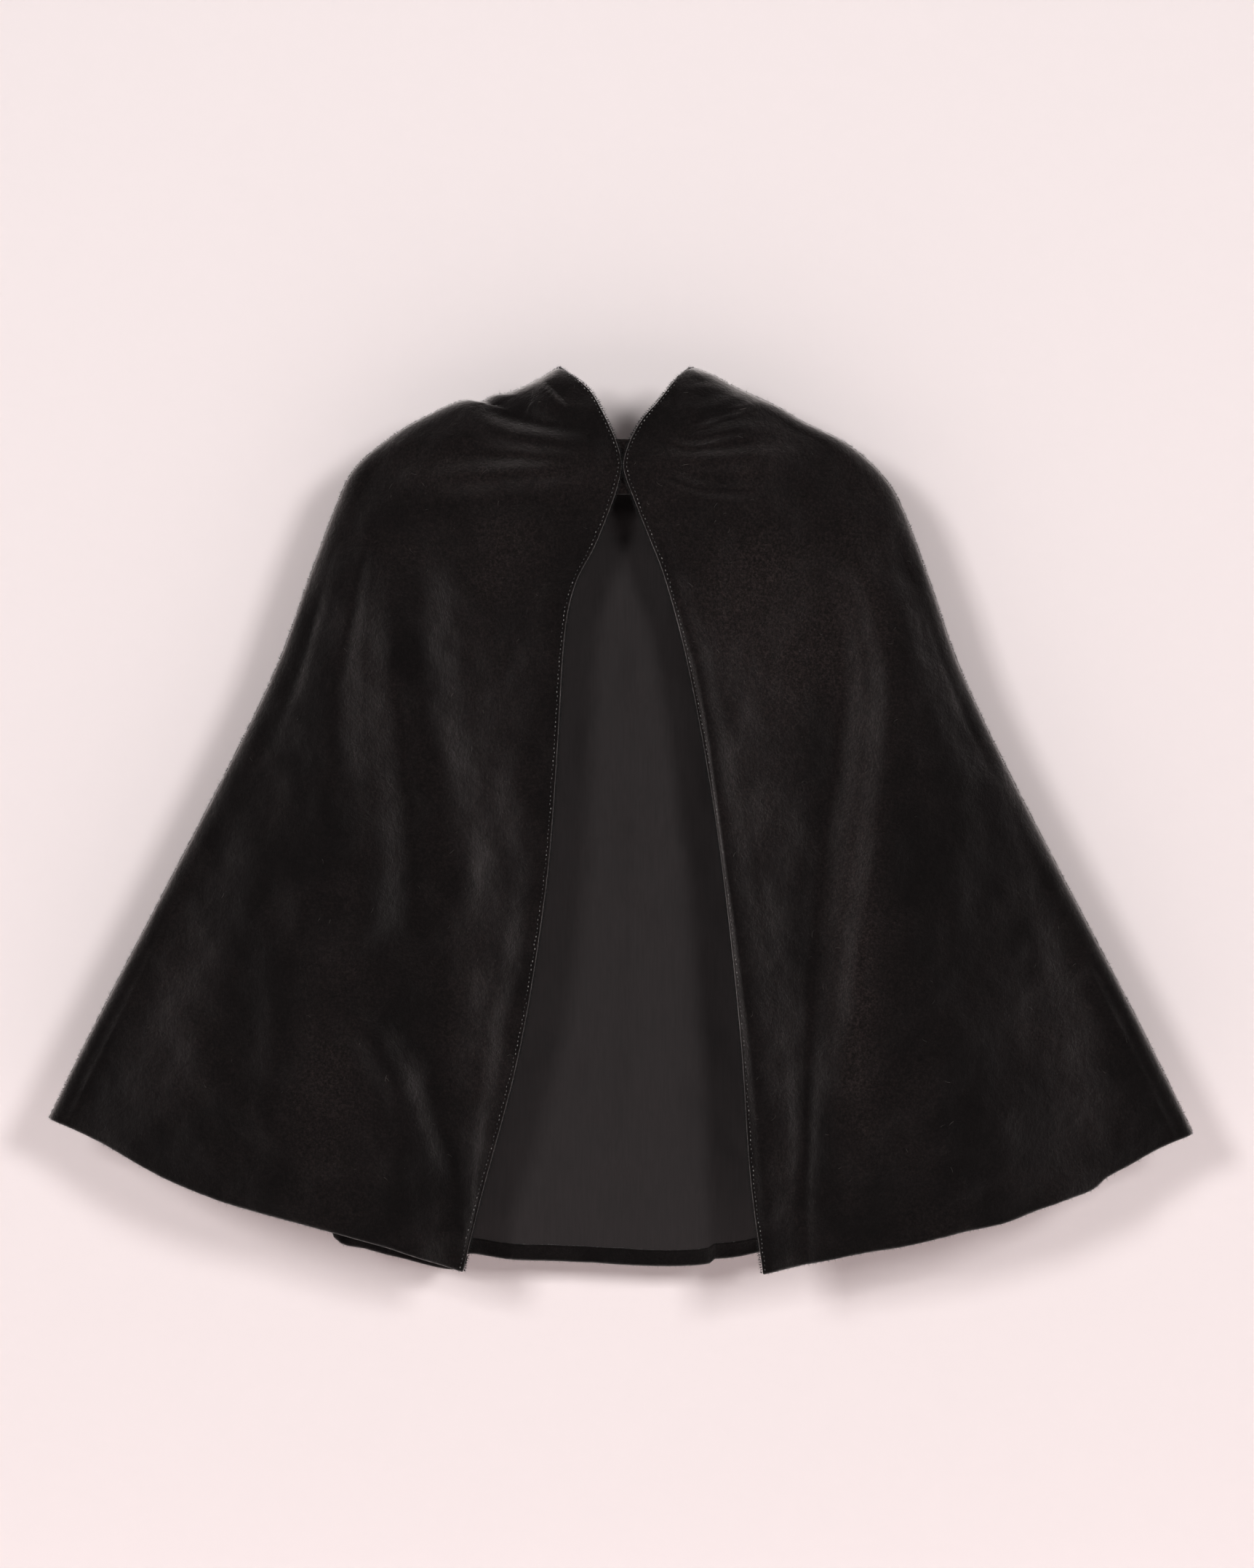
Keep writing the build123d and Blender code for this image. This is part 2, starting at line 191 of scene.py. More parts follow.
# Lighter patches in the velvet's colour: centre x, z, half width, half height, strength. On the
# fronts they are painted sheen where fold slopes and throat creases catch the light; the back's
# patches just lighten its colour.
RIGHT_PAINTED_SHEEN = [(-85, -240, 42, 190, 0.5), (-166, -220, 22, 120, 0.5), (-190, -470, 34, 90, 0.5),
             (-292, -430, 30, 80, 0.5), (-92, -430, 18, 80, 0.4), (-60, -62, 100, 16, 0.45),
             (-60, -110, 110, 30, 0.3)]
LEFT_PAINTED_SHEEN = [(100, -150, 75, 60, 0.9), (92, -260, 34, 110, 0.7), (158, -250, 18, 130, 0.6),
            (150, -380, 16, 130, 0.9), (185, -460, 40, 80, 0.3), (285, -440, 34, 80, 0.4),
            (60, -60, 100, 22, 0.5), (105, -470, 16, 80, 0.4)]
BACK_LIGHTER_PATCHES = [(-240, -380, 40, 160, 0.6), (-70, -300, 45, 220, 0.6), (90, -360, 40, 200, 0.6),
            (250, -420, 40, 120, 0.5), (0, -130, 140, 40, 0.4)]
# Wrinkles that show only in the cotton of the back, seen between the fronts.
BACK_LINING_WRINKLES = [
    ([(-46, -305), (-10, -303), (42, -306)], 0.9, 3, 2),
    ([(-20, -130), (-24, -260), (-30, -420), (-36, -560)], 0.8, 6, 6),
    ([(6, -150), (8, -300), (4, -480), (8, -570)], 0.7, 5, 5),
    ([(24, -200), (30, -350), (36, -560)], 0.8, 7, 7),
]


# --- Curves and grids --------------------------------------------------------------------
def smooth_path(points, samples=24):
    """Catmull-Rom curve through a few points, as points and their distance along it."""
    p = np.array(points, float)
    p = np.vstack([2 * p[0] - p[1], p, 2 * p[-1] - p[-2]])
    t = np.linspace(0, 1, samples, endpoint=False)[:, None]
    pieces = []
    for a, b, c, d in zip(p, p[1:], p[2:], p[3:]):
        pieces.append(0.5 * (2 * b + (c - a) * t + (2 * a - 5 * b + 4 * c - d) * t ** 2
                             + (3 * b - a - 3 * c + d) * t ** 3))
    line = np.vstack(pieces + [p[-2:-1]])
    return line, np.concatenate([[0], np.cumsum(np.linalg.norm(np.diff(line, axis=0), axis=1))])


def along(path, shares):
    """Points at shares, from 0 to 1, of a smooth path's length."""
    line, run = path
    s = np.asarray(shares, float) * run[-1]
    return np.stack([np.interp(s, run, line[:, i]) for i in range(line.shape[1])], axis=-1)


def level(points, x):
    """Height of a smooth line at x."""
    line, _ = smooth_path(points)
    return np.interp(x, line[:, 0], line[:, 1])


def fold_relief(x, z, folds):
    """Height of all folds over points in the front view. A fold fades out at both ends."""
    relief = np.zeros_like(x)
    for points, height, soft_left, soft_right in folds:
        line, run = smooth_path(points, 8)
        best = np.full(x.shape, 1e9)
        side, share = np.zeros_like(x), np.zeros_like(x)
        for (ax, az), (bx, bz), start in zip(line, line[1:], run):
            dx, dz = bx - ax, bz - az
            length = math.hypot(dx, dz)
            t = np.clip(((x - ax) * dx + (z - az) * dz) / length ** 2, 0, 1)
            away = np.hypot(x - ax - t * dx, z - az - t * dz)
            near = away < best
            best = np.where(near, away, best)
            side = np.where(near, np.sign(dx * (z - az) - dz * (x - ax)), side)
            share = np.where(near, (start + t * length) / run[-1], share)
        soft = np.where(side > 0, soft_left, soft_right)
        fade = np.sin(np.pi * np.clip(share, 0.02, 0.98)) ** 0.7
        relief += height * fade * np.exp(-(best / soft) ** 2)
    return relief


def wave_relief(x, z, waves):
    """Height of broad folds that run down the cloth: smooth between their crests and troughs."""
    lines = [smooth_path(points)[0] for points in waves]
    at = [np.interp(-z, -line[:, 1], line[:, 0]) for line in lines]
    heights = [np.interp(-z, -line[:, 1], line[:, 2]) for line in lines]
    rises = [(h1 - h0) / np.maximum(x1 - x0, 2.0)
             for h0, h1, x0, x1 in zip(heights, heights[1:], at, at[1:])]
    flat = np.zeros_like(x)
    slopes = [flat] + [np.where(a * b > 0, 2 * a * b / np.where(a * b > 0, a + b, 1), 0)
                       for a, b in zip(rises, rises[1:])] + [flat]
    relief = flat.copy()
    for k in range(len(waves) - 1):
        width = np.maximum(at[k + 1] - at[k], 2.0)
        t = (x - at[k]) / width
        value = ((2 * t ** 3 - 3 * t ** 2 + 1) * heights[k]
                 + (3 * t ** 2 - 2 * t ** 3) * heights[k + 1]
                 + (t ** 3 - 2 * t ** 2 + t) * width * slopes[k]
                 + (t ** 3 - t ** 2) * width * slopes[k + 1])
        relief = np.where((t >= 0) & (t < 1), value, relief)
    relief = np.where(x < at[0], heights[0], np.where(x >= at[-1], heights[-1], relief))
    return relief * np.interp(-z, [92, 130, 165, 220], [0, 0.5, 0.85, 1])


def undulation(shape_x, shape_z, size, height):
    """Small soft unevenness of hanging cloth: smooth noise of a given feature size."""
    cells_x = np.arange(-420, 420 + 3 * size, size)
    cells_z = np.arange(-640, 40 + 3 * size, size)
    values = rng.normal(0, height, (len(cells_x), len(cells_z)))

    def weights(t):
        return [(1 - t) ** 3 / 6, (3 * t ** 3 - 6 * t ** 2 + 4) / 6,
                (-3 * t ** 3 + 3 * t ** 2 + 3 * t + 1) / 6, t ** 3 / 6]

    cx, cz = (shape_x + 420) / size, (shape_z + 640) / size
    ix = np.clip(cx.astype(int), 0, len(cells_x) - 4)
    iz = np.clip(cz.astype(int), 0, len(cells_z) - 4)
    wx, wz = weights(cx - ix), weights(cz - iz)
    return sum(wx[a] * wz[b] * values[ix + a, iz + b] for a in range(4) for b in range(4))


def eased(a, b, t):
    return a + (b - a) * t


def depth_at(z, hem_depth):
    """Distance of a face from the seam plane: eased in at the neck, then a long taper."""
    neck = eased(NECK_DEPTH, THROAT_DEPTH, np.clip(z / -24.0, 0, 1))
    return np.where(z > FLAP_TOP, neck,
                    eased(THROAT_DEPTH, hem_depth, (z - FLAP_TOP) / (HEM_LEVEL - FLAP_TOP)))


def row_shares(length, count, fine=16.0, fine_count=26):
    """Rows from neck to hem, close together in the last few millimetres above the hem."""
    split = 1 - fine / length
    return np.concatenate([np.linspace(0, split, count, endpoint=False),
                           np.linspace(split, 1, fine_count)])


def column_shares(width, count, first=14.0, last=9.0, fine_count=18):
    """Columns across one row, closer together at its two ends."""
    a, b = min(0.3, first / width), 1 - min(0.3, last / width)
    return np.concatenate([np.linspace(0, a, fine_count, endpoint=False),
                           np.linspace(a, b, count, endpoint=False),
                           np.linspace(b, 1, fine_count)])


def side_round(t):
    """How the cloth comes round at a side, t millimetres in from the silhouette."""
    return FOLD_RADIUS * np.sqrt(1 - (1 - np.clip(t / (FOLD_RADIUS * 1.4), 0, 1)) ** 2)


def seam_stand(t):
    """Half the space from front to back: almost none at a side seam, room for cloth past it."""
    return 0.2 + 0.7 * np.clip(t / 2, 0, 1)


def peak_round(run):
    """The cloth lies flat on itself at the shoulder fold and opens out below it."""
    return np.sqrt(1 - (1 - np.clip(run / 22 + 0.01, 0, 1)) ** 2)


def front_surface(side_points, edge_points, hem_points, folds, waves, rows=190, columns=92):
    """Middle surface of a front's velvet: (rows, columns, 3), from side seam to front edge."""
    side, edge = smooth_path(side_points), smooth_path(edge_points)
    v = row_shares(side[1][-1], rows)
    starts, ends = along(side, v), along(edge, v)
    widths = np.maximum(np.linalg.norm(ends - starts, axis=1), 1.0)
    u = np.array([column_shares(w, columns) for w in widths])
    x = starts[:, :1] + (ends[:, :1] - starts[:, :1]) * u
    z = starts[:, 1:] + (ends[:, 1:] - starts[:, 1:]) * u
    hem = level(sorted(hem_points), x[-1]) - z[-1]
    z = z + hem[None, :] * (v ** 5)[:, None]
    from_side = u * widths[:, None]
    power = eased(THROAT_SWELL, FRONT_SWELL, np.clip((FLAP_TOP - z) / SWELL_EASE, 0, 1))
    swell = (depth_at(z, FRONT_HEM_DEPTH) - FOLD_RADIUS) * (1 - (1 - u) ** power)
    relief = fold_relief(x, z, folds) + wave_relief(x, z, waves)
    relief += undulation(x, z, 16, 1.8) + undulation(x, z, 7, 0.5)
    relief *= np.clip(from_side / 12, 0, 1)
    top = peak_round(v * side[1][-1])[:, None]
    y = -(seam_stand(from_side) + (side_round(from_side) + swell + relief) * top)
    return np.stack([x, y, z], axis=-1), (1 - u) * widths[:, None]


def back_surface(rows=190, columns=200):
    """Middle surface of the back's velvet, from the wearer's right to the left."""
    right, left = smooth_path(RIGHT_SIDE), smooth_path(LEFT_SIDE)
    v = row_shares(right[1][-1], rows)
    starts, ends = along(right, v), along(left, v)
    widths = np.linalg.norm(ends - starts, axis=1)
    u = np.array([column_shares(w, columns, first=14, last=14) for w in widths])
    x = starts[:, :1] + (ends[:, :1] - starts[:, :1]) * u
    across = 1 - (2 * u - 1) ** 2
    drop = across * BACK_NECK_DROP * (1 + BACK_HEM_SAG * v[:, None])
    z = starts[:, 1:] + (ends[:, 1:] - starts[:, 1:]) * u - drop
    hem = level(BACK_HEM, x[-1]) - z[-1]
    z = z + hem[None, :] * (v ** 5)[:, None]
    low = np.clip(level(BACK_FOLDS, x), -3, 15)
    close = np.exp(-((z - z[-1:]) / 60.0) ** 2)
    z = z - low * close ** 4
    from_side = np.minimum(u, 1 - u) * widths[:, None]
    swell = (depth_at(z, BACK_HEM_DEPTH) - FOLD_RADIUS) * (1 - np.abs(2 * u - 1) ** 2)
    relief = fold_relief(x, z, BACK_FOLD_LINES) + wave_relief(x, z, BACK_WAVES)
    relief += undulation(x, z, 16, 1.8) + undulation(x, z, 7, 0.5)
    relief = relief * np.clip(from_side / 20, 0, 1)
    y = seam_stand(from_side) + side_round(from_side) + swell + relief - low * close * 0.8
    return np.stack([x, y, z], axis=-1)


def normals(grid):
    """Unit normals of a grid of points, rows going down and columns going across."""
    across = np.gradient(grid, axis=1)
    down = np.gradient(grid, axis=0)
    n = np.cross(across, down)
    return n / np.maximum(np.linalg.norm(n, axis=-1, keepdims=True), 1e-9)


def rim_distance(grid):
    """Distance of each grid point from the nearest border, measured along rows and columns."""
    def run(axis):
        step = np.linalg.norm(np.diff(grid, axis=axis), axis=-1)
        pad = [(1, 0), (0, 0)] if axis == 0 else [(0, 0), (1, 0)]
        total = np.cumsum(np.pad(step, pad), axis=axis)
        last = total[-1:, :] if axis == 0 else total[:, -1:]
        return np.minimum(total, last - total)
    return np.minimum(run(0), run(1))


def thick_sheet(name, grid, thickness, outwards):
    """Closed cloth about a middle surface, rounded off at its borders."""
    n = normals(grid)
    if (n[..., 1].mean() > 0) != (outwards > 0):
        n = -n
    half = thickness / 2
    near = np.clip(rim_distance(grid) / half, 0, 1)
    half = half * (0.25 + 0.75 * np.sqrt(1 - (1 - near) ** 2))
    outer, inner = grid + n * half[..., None], grid - n * half[..., None]
    rows, columns = grid.shape[:2]
    verts = np.concatenate([outer.reshape(-1, 3), inner.reshape(-1, 3)]) * MM
    index = np.arange(rows * columns).reshape(rows, columns)
    other = index + rows * columns
    faces = []
    a, b, c, d = index[:-1, :-1], index[:-1, 1:], index[1:, 1:], index[1:, :-1]
    faces += np.stack([a, b, c, d], -1).reshape(-1, 4).tolist()
    a, b, c, d = other[:-1, :-1], other[:-1, 1:], other[1:, 1:], other[1:, :-1]
    faces += np.stack([a, d, c, b], -1).reshape(-1, 4).tolist()
    loop = np.concatenate([index[0, :-1], index[:-1, -1], index[-1, :0:-1], index[:0:-1, 0]])
    back = loop + rows * columns
    faces += np.stack([loop, back, np.roll(back, -1), np.roll(loop, -1)], -1).tolist()
    return mesh_piece(name, verts, faces)


def mesh_piece(name, verts, faces):
    """A smooth-shaded mesh object with its faces turned outwards."""
    mesh = bpy.data.meshes.new(name)
    mesh.from_pydata([tuple(v) for v in verts], [], faces)
    mesh.update()
    bm = bmesh.new()
    bm.from_mesh(mesh)
    bmesh.ops.recalc_face_normals(bm, faces=bm.faces)
    bm.to_mesh(mesh)
    bm.free()
    mesh.shade_smooth()
    piece = bpy.data.objects.new(name, mesh)
    bpy.context.scene.collection.objects.link(piece)
    return piece


# --- Velvet, lining and thread -----------------------------------------------------------
def outward(grid, towards_back):
    """Unit normals that point out of the cape."""
    n = normals(grid)
    return n if (n[..., 1].mean() > 0) == towards_back else -n


def turned_in(grid, n, radius=0.95, steps=7):
    """A panel's middle surface carried round its hem and HEM_TURN up inside it."""
    down = grid[-1] - grid[-3]
    down /= np.linalg.norm(down, axis=-1, keepdims=True)
    centre = grid[-1] - n[-1] * radius
    arc = [centre + n[-1] * radius * math.cos(a) + down * radius * math.sin(a)
           for a in np.linspace(0, math.pi, steps + 1)[1:-1]]
    climb = np.cumsum(np.linalg.norm(np.diff(grid[::-1, grid.shape[1] // 2], axis=0), axis=-1))
    rows = int(np.searchsorted(climb, HEM_TURN)) + 1
    inside = [row - normal * 2 * radius for row, normal in zip(grid[::-1][:rows], n[::-1])]
    return np.concatenate([grid, np.array(arc), np.array(inside)])


def lining_of(grid, n, from_edge, from_hem=8.0):
    """The lining's middle surface: inside the velvet, short of its front edge and its hem."""
    climb = np.cumsum(np.linalg.norm(np.diff(grid[::-1, grid.shape[1] // 2], axis=0), axis=-1))
    keep = len(grid) - int(np.searchsorted(climb, from_hem)) - 1
    inner = (grid - n * LINING_STANDOFF)[:keep]
    rows = []
    for row, edge in zip(inner, from_edge[:keep]):
        inset = min(2.5, edge[0] * 0.25)
        target = np.maximum(edge * (1 - inset / max(edge[0], 1e-6)) + inset, 0)
        rows.append(np.stack([np.interp(-target, -edge, row[:, i]) for i in range(3)], axis=-1))
    return np.array(rows)


def inset_line(grid, n, distance, inset, proud):
    """Points on a panel's outer face, a set distance in from one of its borders, row by row."""
    line = []
    for row, normal, away in zip(grid, n, distance):
        order = np.argsort(away)
        d = min(inset, away.max() * 0.5)
        point = [np.interp(d, away[order], row[order, i]) for i in range(3)]
        out = np.array([np.interp(d, away[order], normal[order, i]) for i in range(3)])
        line.append(np.concatenate([point + out * proud, out]))
    return np.array(line)


def stitch_row(name, line, pitch=2.8, length=1.5, radius=0.24, wander=0.25):
    """A row of separate stitches: slim rounded thread ends that dip into the cloth."""
    points, outs = line[:, :3], line[:, 3:]
    run = np.concatenate([[0], np.cumsum(np.linalg.norm(np.diff(points, axis=0), axis=1))])
    verts, faces = [], []
    sides, rings = 6, 5
    at = pitch / 2
    while at + length < run[-1]:
        slack = rng.normal(0, wander)
        spine = [np.array([np.interp(at + length * t, run, points[:, i]) for i in range(3)])
                 for t in np.linspace(0, 1, rings)]
        out = np.array([np.interp(at + length / 2, run, outs[:, i]) for i in range(3)])
        along_it = spine[-1] - spine[0]
        along_it /= np.linalg.norm(along_it)
        side = np.cross(out, along_it)
        side /= np.linalg.norm(side)
        first = len(verts)
        for t, centre in zip(np.linspace(0, 1, rings), spine):
            lift = math.sin(math.pi * t)
            r = radius * (0.45 + 0.55 * lift)
            centre = centre + out * (0.35 * lift - 0.25) + side * slack
            for k in range(sides):
                a = 2 * math.pi * k / sides
                verts.append(centre + (side * math.cos(a) + out * math.sin(a)) * r)
        for ring in range(rings - 1):
            for k in range(sides):
                a, b = first + ring * sides + k, first + ring * sides + (k + 1) % sides
                faces.append((a, b, b + sides, a + sides))
        faces.append(tuple(range(first, first + sides))[::-1])
        last = first + (rings - 1) * sides
        faces.append(tuple(range(last, last + sides)))
        at += pitch * (1 + rng.normal(0, 0.04))
    return mesh_piece(name, np.array(verts) * MM, faces)


# --- Materials ---------------------------------------------------------------------------
def material(name, rough=0.8, base=(0.01, 0.01, 0.01)):
    mat = bpy.data.materials.new(name)
    mat.use_nodes = True
    nodes, links = mat.node_tree.nodes, mat.node_tree.links
    shader = nodes["Principled BSDF"]
    shader.inputs["Roughness"].default_value = rough
    shader.inputs["Base Color"].default_value = (*base, 1)
    return mat, nodes, links, shader


def place(nodes, links, scale=(1, 1, 1)):
    coordinates = nodes.new("ShaderNodeTexCoord")
    mapping = nodes.new("ShaderNodeMapping")
    mapping.inputs["Scale"].default_value = scale
    links.new(coordinates.outputs["Object"], mapping.inputs["Vector"])
    return mapping.outputs["Vector"]


def noise(nodes, links, vector, scale, detail=2.0, roughness=0.5, distortion=0.0):
    node = nodes.new("ShaderNodeTexNoise")
    node.inputs["Scale"].default_value = scale
    node.inputs["Detail"].default_value = detail
    node.inputs["Roughness"].default_value = roughness
    node.inputs["Distortion"].default_value = distortion
    links.new(vector, node.inputs["Vector"])
    return node.outputs["Fac"]


def ramp(nodes, links, value, stops):
    node = nodes.new("ShaderNodeValToRGB")
    elements = node.color_ramp.elements
    while len(elements) < len(stops):
        elements.new(0.5)
    for element, (position, colour) in zip(elements, stops):
        element.position, element.color = position, (*colour, 1)
    links.new(value, node.inputs["Fac"])
    return node.outputs["Color"]


def bump(nodes, links, height, strength, distance, below=None):
    node = nodes.new("ShaderNodeBump")
    node.inputs["Strength"].default_value = strength
    node.inputs["Distance"].default_value = distance
    links.new(height, node.inputs["Height"])
    if below is not None:
        links.new(below, node.inputs["Normal"])
    return node.outputs["Normal"]


def paint_nap_and_sheen(piece, patches):
    """Stores a lightness for the velvet's colour at each point: the nap's random clouds plus the
    given patches, which on the fronts are painted sheen.
    """
    co = np.zeros(len(piece.data.vertices) * 3)
    piece.data.vertices.foreach_get("co", co)
    x, _, z = co.reshape(-1, 3).T / MM
    light = undulation(x, z, 22, 0.18) + undulation(x, z, 9, 0.12)
    # The patches add painted sheen on the fronts; elsewhere they just lighten the colour.
    for cx, cz, wide, tall, strength in patches:
        light += strength * np.exp(-((x - cx) / wide) ** 2 - ((z - cz) / tall) ** 2)
    attribute = piece.data.attributes.new("nap_and_sheen", "FLOAT", "POINT")
    attribute.data.foreach_set("value", np.clip(light, 0, 1).astype(np.float32))


def velvet_material():
    """Cotton velvet: near-black pile in tufts, with a soft sheen, the nap's clouds and painted
    sheen patches in its colour.
    """
    mat, nodes, links, shader = material("black_velvet", rough=0.95)
    shader.inputs["Specular IOR Level"].default_value = 0.0
    shader.inputs["Sheen Weight"].default_value = 0.86
    shader.inputs["Sheen Roughness"].default_value = 0.43
    shader.inputs["Sheen Tint"].default_value = (1.0, 0.93, 0.91, 1)
    vector = place(nodes, links)
    # Attribute read into the base colour: the nap's clouds plus painted sheen along the fronts'
    # fold slopes and throat.
    nap_and_sheen = nodes.new("ShaderNodeAttribute")
    nap_and_sheen.attribute_name = "nap_and_sheen"
    tufts = noise(nodes, links, vector, 620, detail=5, roughness=0.85)
    colour = ramp(nodes, links, nap_and_sheen.outputs["Fac"], [(0.0, (0.0012, 0.0009, 0.0009)),
                                                     (1.0, (0.0075, 0.0056, 0.0054))])
    speck = ramp(nodes, links, tufts, [(0.38, (0.1, 0.1, 0.1)), (0.5, (0.9, 0.88, 0.87)),
                                       (0.62, (3.2, 3.1, 3.05))])
    mix = nodes.new("ShaderNodeMix")
    mix.data_type, mix.blend_type = "RGBA", "MULTIPLY"
    mix.inputs[0].default_value = 1.0
    links.new(colour, mix.inputs[6])
    links.new(speck, mix.inputs[7])
    links.new(mix.outputs[2], shader.inputs["Base Color"])
    pile = bump(nodes, links, tufts, 0.6, 0.0007)
    brushed = bump(nodes, links, noise(nodes, links, vector, 110, detail=5, roughness=0.7), 0.4,
                   0.0022, below=pile)
    links.new(brushed, shader.inputs["Normal"])
    return mat


def lining_material():
    """Plain-weave cotton, matt charcoal."""
    mat, nodes, links, shader = material("charcoal_cotton", rough=0.82)
    shader.inputs["Specular IOR Level"].default_value = 0.25
    shader.inputs["Sheen Weight"].default_value = 0.05
    vector = place(nodes, links)
    slubs = noise(nodes, links, place(nodes, links, (1, 1, 0.04)), 900, detail=2)
    warp = nodes.new("ShaderNodeTexWave")
    weft = nodes.new("ShaderNodeTexWave")
    for node, direction in ((warp, "X"), (weft, "Z")):
        node.bands_direction = direction
        node.inputs["Scale"].default_value = 950
        node.inputs["Distortion"].default_value = 0.6
        node.inputs["Detail Scale"].default_value = 3
        links.new(vector, node.inputs["Vector"])
    weave = nodes.new("ShaderNodeMath")
    weave.operation = "MULTIPLY"
    links.new(warp.outputs["Fac"], weave.inputs[0])
    links.new(weft.outputs["Fac"], weave.inputs[1])
    colour = ramp(nodes, links, slubs, [(0.3, (0.0145, 0.0118, 0.0118)),
                                        (0.7, (0.0185, 0.0152, 0.0152))])
    links.new(colour, shader.inputs["Base Color"])
    wrinkled = bump(nodes, links, noise(nodes, links, vector, 60, detail=4), 0.12, 0.002)
    links.new(bump(nodes, links, weave.outputs[0], 0.3, 0.0001, below=wrinkled),
              shader.inputs["Normal"])
    return mat


def thread_material():
    """Two-ply polyester thread, which glints along its twist; some stitches also get painted
    glints, coloured mid to light grey.
    """
    mat, nodes, links, shader = material("sewing_thread", rough=0.42)
    shader.inputs["Sheen Weight"].default_value = 0.1
    vector = place(nodes, links)
    twist = noise(nodes, links, vector, 2600, detail=2)
    painted_glints = noise(nodes, links, vector, 230, detail=3, roughness=0.8)
    # Near-black thread with painted glints: the noise turns some stitches mid or light grey.
    colour = ramp(nodes, links, painted_glints, [(0.4, (0.006, 0.0055, 0.0055)), (0.5, (0.06, 0.057, 0.056)),
                                       (0.6, (0.3, 0.29, 0.28))])
    links.new(colour, shader.inputs["Base Color"])
    links.new(bump(nodes, links, twist, 0.5, 0.0001), shader.inputs["Normal"])
    return mat


def nylon_material(name, scale, rough):
    """Black nylon of the hook and the loop tape."""
    mat, nodes, links, shader = material(name, rough=rough)
    shader.inputs["Sheen Weight"].default_value = 0.25
    vector = place(nodes, links)
    fibres = noise(nodes, links, vector, scale, detail=3)
    colour = ramp(nodes, links, fibres, [(0.3, (0.006,) * 3), (0.7, (0.022,) * 3)])
    links.new(colour, shader.inputs["Base Color"])
    links.new(bump(nodes, links, fibres, 0.6, 0.0002), shader.inputs["Normal"])
    return mat


def lint_material():
    """Dull grey-brown fibres."""
    mat, nodes, links, shader = material("lint_fibre", rough=0.8)
    shade = noise(nodes, links, place(nodes, links), 220, detail=2)
    colour = ramp(nodes, links, shade, [(0.35, (0.03, 0.026, 0.024)), (0.7, (0.16, 0.14, 0.13))])
    links.new(colour, shader.inputs["Base Color"])
    return mat


def interfacing_material():
    """White non-woven fibre sheet."""
    mat, nodes, links, shader = material("interfacing_fibre", rough=0.9)
    vector = place(nodes, links)
    fibres = noise(nodes, links, vector, 700, detail=5, distortion=1.2)
    colour = ramp(nodes, links, fibres, [(0.3, (0.6, 0.6, 0.58)), (0.7, (0.82, 0.82, 0.8))])
    links.new(colour, shader.inputs["Base Color"])
    links.new(bump(nodes, links, fibres, 0.4, 0.0002), shader.inputs["Normal"])
    return mat


VELVET_LOOK = velvet_material()
PILE_LOOK = material("loose_pile", rough=1.0, base=(0.0022, 0.0018, 0.0018))[0]
LINT_LOOK = lint_material()
LINING_LOOK = lining_material()
THREAD_LOOK = thread_material()
HOOK_LOOK = nylon_material("nylon_hooks", 1800, 0.45)
LOOP_LOOK = nylon_material("nylon_loops", 2400, 0.8)
INTERFACING_LOOK = interfacing_material()


def finish_piece(piece, look):
    piece.data.materials.append(look)
    return piece


def bend_front(piece):
    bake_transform(piece)


def hem_stitches(name, lining, inwards):
    """Felling stitches that catch the lining's lower edge to the turned-in velvet."""
    n = normals(lining)
    n = n if (n[..., 1].mean() > 0) == inwards else -n
    line = np.concatenate([lining[-2] + n[-2] * LINING / 2, n[-2]], axis=-1)
    stitches = stitch_row(name, line, pitch=4.2, length=2.0, radius=0.2)
    return finish_piece(stitches, THREAD_LOOK)


def fuzz(name, points, directions, count, length, radius=0.1, spread=0.6):
    """Loose pile along a border: fine tapering hairs that stand out of the cloth."""
    pick = rng.integers(0, len(points) // 4, count) * 4
    roots = points[pick] + rng.normal(0, 0.22, (count, 3))
    ways = directions[pick] + rng.normal(0, spread, (count, 3))
    ways /= np.linalg.norm(ways, axis=1, keepdims=True)
    bends = rng.normal(0, 0.35, (count, 3))
    long = length * rng.uniform(0.4, 1.2, count)[:, None]
    middle = roots + ways * long * 0.55
    tips = roots + (ways + bends) * long
    side = np.cross(ways, rng.normal(0, 1, (count, 3)))
    side /= np.maximum(np.linalg.norm(side, axis=1, keepdims=True), 1e-6)
    third = np.cross(ways, side)
    corners = [side, -0.5 * side + 0.87 * third, -0.5 * side - 0.87 * third]
    verts = np.concatenate([roots + c * radius for c in corners]
                           + [middle + c * radius * 0.7 for c in corners] + [tips])
    i = np.arange(count)
    faces = []
    for a, b in ((0, 1), (1, 2), (2, 0)):
        faces += np.stack([i + a * count, i + b * count, i + (b + 3) * count,
                           i + (a + 3) * count], -1).tolist()
        faces += np.stack([i + (a + 3) * count, i + (b + 3) * count, i + 6 * count], -1).tolist()
    faces += np.stack([i, i + 2 * count, i + count], -1).tolist()
    return finish_piece(mesh_piece(name, verts * MM, faces), PILE_LOOK)


def rim_points(grid):
    """Points spread along a panel's four borders, and the directions out of the panel there."""
    out = []
    for edge, inner in ((grid[0], grid[1]), (grid[:, 0], grid[:, 1]), (grid[:, -1], grid[:, -2]),
                        (grid[-1], grid[-2])):
        way = edge - inner
        way /= np.maximum(np.linalg.norm(way, axis=-1, keepdims=True), 1e-6)
        run = np.concatenate([[0], np.cumsum(np.linalg.norm(np.diff(edge, axis=0), axis=-1))])
        even = np.arange(0, run[-1], 0.4)
        at = [np.stack([np.interp(even, run, v[:, i]) for i in range(3)], -1) for v in (edge, way)]
        out.append(np.concatenate([at[0] + at[1] * VELVET * 0.35, at[1]], -1))
    out = np.concatenate(out)
    return out[:, :3], out[:, 3:]


